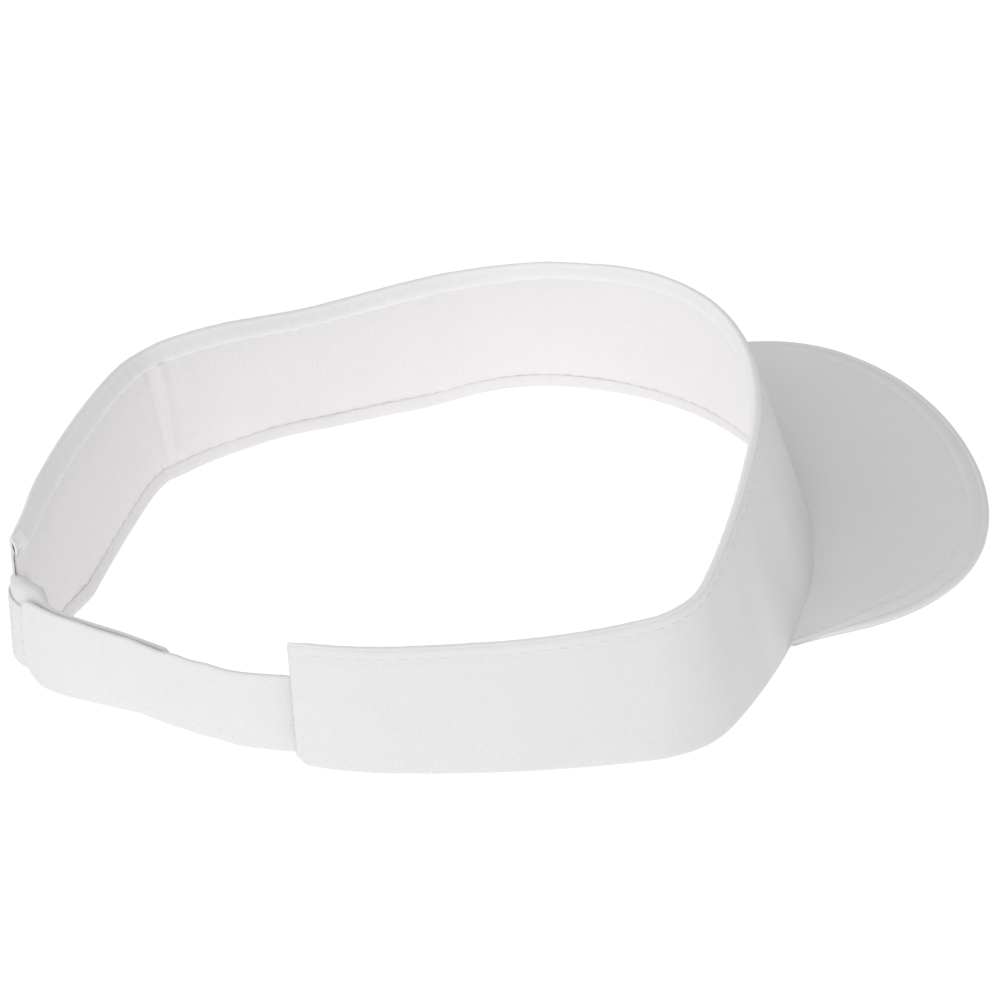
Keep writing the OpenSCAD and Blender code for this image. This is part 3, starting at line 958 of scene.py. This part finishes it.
shell_cloth = shell()
lining = sweatband()
tape = binding()
top_cover = brim_cover(1, "brim_top_cloth", BRIM_CLOTH, "brim_top_cover")
under_cover = brim_cover(-1, "brim_under_cloth", UNDER_CLOTH_PAINTED_SHADE, "brim_under_cover")
board = brim_board()
right_cloth = right_strap()
left_cloth = left_strap()
hooks = hook_tape()
loops = loop_tape()
top_row = top_edge_stitches()
brim_row = brim_stitches()
right_row = panel_stitches("right_panel_stitches", FIRST + END_SEAM, "right_panel_thread")
left_row = panel_stitches("left_panel_stitches", LEFT_END - END_SEAM, "left_panel_thread")
loop_row = loop_tape_stitches()
hook_row = hook_tape_stitches()

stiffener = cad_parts["front_stiffener"]
stiffener.data.materials.clear()
stiffener.data.materials.append(BUCKRAM)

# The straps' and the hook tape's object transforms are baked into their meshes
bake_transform(right_cloth)
for piece in (left_cloth, hooks):
    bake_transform(piece)


# ---------------------------------------------------------------- stage, light and camera

def stage_floor():
    """Pale floor with a little light of its own, so that the photo's white ground stays white."""
    bpy.ops.mesh.primitive_circle_add(vertices=96, radius=6, fill_type="NGON", location=(0, 0, -0.0004))
    floor = bpy.context.object
    floor.name = "floor"
    material, _, shader = nodes_of("pale_floor")
    shader.inputs["Base Color"].default_value = (0.42, 0.42, 0.42, 1)
    shader.inputs["Roughness"].default_value = 1
    shader.inputs["Specular IOR Level"].default_value = 0
    shader.inputs["Emission Color"].default_value = (1, 1, 1, 1)
    shader.inputs["Emission Strength"].default_value = 0.75
    floor.data.materials.append(material)


def sky():
    """Soft light all round, dimmer overhead and from the front."""
    world = bpy.data.worlds.new("studio")
    bpy.context.scene.world = world
    world.use_nodes = True
    tree = world.node_tree
    back = tree.nodes["Background"]
    place = tree.nodes.new("ShaderNodeTexCoord")
    split = tree.nodes.new("ShaderNodeSeparateXYZ")
    link(tree, place.outputs["Generated"], split.inputs[0])
    behind = maths(tree, "MULTIPLY", split.outputs["Y"], 0.5)
    behind = maths(tree, "ADD", behind, 0.5)
    up = ramp(tree, split.outputs["Z"], (1.0, 1.0, 1.0), (0.90, 0.90, 0.90))
    back_light = ramp(tree, behind, (0.50, 0.495, 0.51), (0.90, 0.90, 0.90))
    mix = tree.nodes.new("ShaderNodeMix")
    mix.data_type = "RGBA"
    mix.blend_type = "MULTIPLY"
    mix.inputs["Factor"].default_value = 1
    link(tree, up, mix.inputs["A"])
    link(tree, back_light, mix.inputs["B"])
    link(tree, mix.outputs["Result"], back.inputs["Color"])
    back.inputs["Strength"].default_value = 1


def direction(azimuth, elevation):
    """Unit vector from the visor, with azimuth 0 in front of it and 90 on its left."""
    a, e = math.radians(azimuth), math.radians(elevation)
    return Vector((math.sin(a) * math.cos(e), -math.cos(a) * math.cos(e), math.sin(e)))


def lamp(name, azimuth, elevation, distance, size, power):
    """Square lamp that shines at the middle of the frame."""
    toward = direction(azimuth, elevation)
    light = bpy.data.lights.new(name, "AREA")
    light.size = size
    light.energy = power
    obj = bpy.data.objects.new(name, light)
    obj.location = toward * distance
    obj.rotation_euler = (-toward).to_track_quat("-Z", "Y").to_euler()
    bpy.context.scene.collection.objects.link(obj)


def camera(azimuth, elevation, distance, lens, target):
    """Camera that looks at the target."""
    back = direction(azimuth, elevation)
    data = bpy.data.cameras.new("camera")
    data.lens = lens
    data.sensor_width = 36
    obj = bpy.data.objects.new("camera", data)
    obj.location = Vector(target) + back * distance
    obj.rotation_euler = (-back).to_track_quat("-Z", "Y").to_euler()
    bpy.context.scene.collection.objects.link(obj)
    bpy.context.scene.camera = obj


stage_floor()
sky()
lamp("key", 250, 30, 1.6, 1.0, 4.0)
camera(248.9, 29.7, 1.5, 235.7, (-0.0208, 0.0068, 0.0338))
bpy.context.scene.view_settings.view_transform = "Standard"
